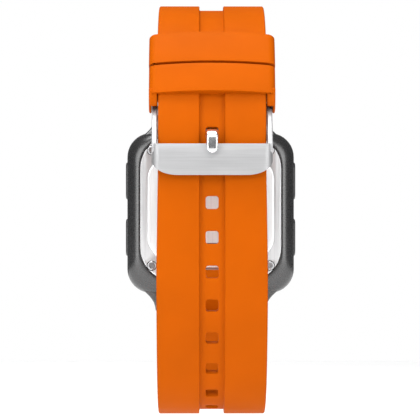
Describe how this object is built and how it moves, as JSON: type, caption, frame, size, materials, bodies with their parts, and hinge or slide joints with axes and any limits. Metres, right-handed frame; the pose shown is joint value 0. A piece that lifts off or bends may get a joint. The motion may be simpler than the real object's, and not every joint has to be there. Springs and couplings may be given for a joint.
{
  "type": "gps running watch",
  "caption": "Rectangular GPS running watch with side buttons and a steel back, buckled on its channelled silicone strap with keepers and a steel buckle.",
  "frame": {"origin": "middle of the case width, on the flat raised face of the steel case back, midway between the lug bars", "axes": "+Z towards twelve o'clock along the strap; -Y out of the display, +Y out of the case back towards the wrist; +X across the case"},
  "size_m": [0.0422, 0.0645, 0.0939],
  "materials": {
    "orange_silicone": "satin",
    "case_plastic": "satin",
    "button_plastic": "satin",
    "bezel_plastic": "gloss",
    "lens_glass": "polished",
    "display_glass": "gloss",
    "white_plastic": "satin",
    "flex_film": "gloss",
    "circuit_board": "satin",
    "antenna_ceramic": "satin",
    "tinned_steel": "satin",
    "black_plastic": "satin",
    "battery_foil": "satin",
    "brass": "satin",
    "case_steel": "brushed",
    "screw_steel": "satin",
    "buckle_steel": "brushed",
    "tongue_steel": "polished",
    "bar_steel": "satin",
    "spring_steel": "satin",
    "gold_contacts": "polished",
    "black_rubber": "matte"
  },
  "bodies": {
    "watch": {"case_body": "case_plastic", "top_bezel": "bezel_plastic", "lens": "lens_glass", "lens_gasket": "black_rubber", "lcd_display": "display_glass", "backlight": "white_plastic", "display_frame": "white_plastic", "display_flex": "flex_film", "main_board": "circuit_board", "gps_antenna": "antenna_ceramic", "shield_can": "tinned_steel", "processor": "black_plastic", "battery": "battery_foil", "buzzer": "brass", "case_back": "case_steel", "case_back_gasket": "black_rubber", "case_back_screws": "screw_steel", "charging_contacts": "gold_contacts", "contact_insulator": "black_plastic", "tact_switches": "black_plastic", "button_seals": "black_rubber", "button_spring_upper_left": "spring_steel", "button_spring_lower_left": "spring_steel", "button_spring_upper_right": "spring_steel", "button_spring_lower_right": "spring_steel", "strap_buckle_side": "orange_silicone", "strap_hole_side": "orange_silicone", "upper_bar_tube": "bar_steel", "upper_bar_spring": "spring_steel", "lower_bar_tube": "bar_steel", "lower_bar_spring": "spring_steel", "buckle_bar_tube": "bar_steel", "buckle_bar_spring": "spring_steel"},
    "button_upper_left": {"button_upper_left": "button_plastic", "button_clip_upper_left": "screw_steel"},
    "button_lower_left": {"button_lower_left": "button_plastic", "button_clip_lower_left": "screw_steel"},
    "button_upper_right": {"button_upper_right": "button_plastic", "button_clip_upper_right": "screw_steel"},
    "button_lower_right": {"button_lower_right": "button_plastic", "button_clip_lower_right": "screw_steel"},
    "upper_bar_plunger_left": {"upper_bar_plunger_left": "bar_steel"},
    "upper_bar_plunger_right": {"upper_bar_plunger_right": "bar_steel"},
    "lower_bar_plunger_left": {"lower_bar_plunger_left": "bar_steel"},
    "lower_bar_plunger_right": {"lower_bar_plunger_right": "bar_steel"},
    "buckle_bar_plunger_left": {"buckle_bar_plunger_left": "bar_steel"},
    "buckle_bar_plunger_right": {"buckle_bar_plunger_right": "bar_steel"},
    "buckle": {"buckle_frame": "buckle_steel"},
    "tongue": {"buckle_tongue": "tongue_steel"},
    "keeper": {"keeper_free": "orange_silicone"}
  },
  "joints": [
    {"name": "button_upper_left_press", "type": "slide", "parent": "watch", "child": "button_upper_left", "axis": [1, 0, 0], "range_m": [0, 0.0005], "stiffness_N_per_m": 2500, "springref_m": -0.0004, "deforming": ["button_spring_upper_left"]},
    {"name": "button_lower_left_press", "type": "slide", "parent": "watch", "child": "button_lower_left", "axis": [1, 0, 0], "range_m": [0, 0.0005], "stiffness_N_per_m": 2500, "springref_m": -0.0004, "deforming": ["button_spring_lower_left"]},
    {"name": "button_upper_right_press", "type": "slide", "parent": "watch", "child": "button_upper_right", "axis": [-1, 0, 0], "range_m": [0, 0.0005], "stiffness_N_per_m": 2500, "springref_m": -0.0004, "deforming": ["button_spring_upper_right"]},
    {"name": "button_lower_right_press", "type": "slide", "parent": "watch", "child": "button_lower_right", "axis": [-1, 0, 0], "range_m": [0, 0.0005], "stiffness_N_per_m": 2500, "springref_m": -0.0004, "deforming": ["button_spring_lower_right"]},
    {"name": "upper_bar_left_plunger_slide", "type": "slide", "parent": "watch", "child": "upper_bar_plunger_left", "axis": [1, 0, 0], "range_m": [0, 0.0012], "stiffness_N_per_m": 1500, "springref_m": -0.0008, "deforming": ["upper_bar_spring"]},
    {"name": "upper_bar_right_plunger_slide", "type": "slide", "parent": "watch", "child": "upper_bar_plunger_right", "axis": [-1, 0, 0], "range_m": [0, 0.0012], "stiffness_N_per_m": 1500, "springref_m": -0.0008, "deforming": ["upper_bar_spring"]},
    {"name": "lower_bar_left_plunger_slide", "type": "slide", "parent": "watch", "child": "lower_bar_plunger_left", "axis": [1, 0, 0], "range_m": [0, 0.0012], "stiffness_N_per_m": 1500, "springref_m": -0.0008, "deforming": ["lower_bar_spring"]},
    {"name": "lower_bar_right_plunger_slide", "type": "slide", "parent": "watch", "child": "lower_bar_plunger_right", "axis": [-1, 0, 0], "range_m": [0, 0.0012], "stiffness_N_per_m": 1500, "springref_m": -0.0008, "deforming": ["lower_bar_spring"]},
    {"name": "buckle_bar_left_plunger_slide", "type": "slide", "parent": "watch", "child": "buckle_bar_plunger_left", "axis": [1, 0, 0], "range_m": [0, 0.0012], "stiffness_N_per_m": 1500, "springref_m": -0.0008, "deforming": ["buckle_bar_spring"]},
    {"name": "buckle_bar_right_plunger_slide", "type": "slide", "parent": "watch", "child": "buckle_bar_plunger_right", "axis": [-1, 0, 0], "range_m": [0, 0.0012], "stiffness_N_per_m": 1500, "springref_m": -0.0008, "deforming": ["buckle_bar_spring"]},
    {"name": "buckle_pivot", "type": "hinge", "parent": "watch", "child": "buckle", "pos_m": [0, 0.04283, 0.02293], "axis": [1, 0, 0], "range_deg": [0, 5]},
    {"name": "tongue_pivot", "type": "hinge", "parent": "watch", "child": "tongue", "pos_m": [0, 0.04283, 0.02293], "axis": [1, 0, 0], "range_deg": [0, 5]},
    {"name": "keeper_slide", "type": "hinge", "parent": "watch", "child": "keeper", "pos_m": [0, 0.01758, 0.02221], "axis": [1, 0, 0], "range_deg": [0, 20]}
  ],
  "couplings": [
    {"joint": "tongue_pivot", "follows": "buckle_pivot", "ratio": 1}
  ]
}
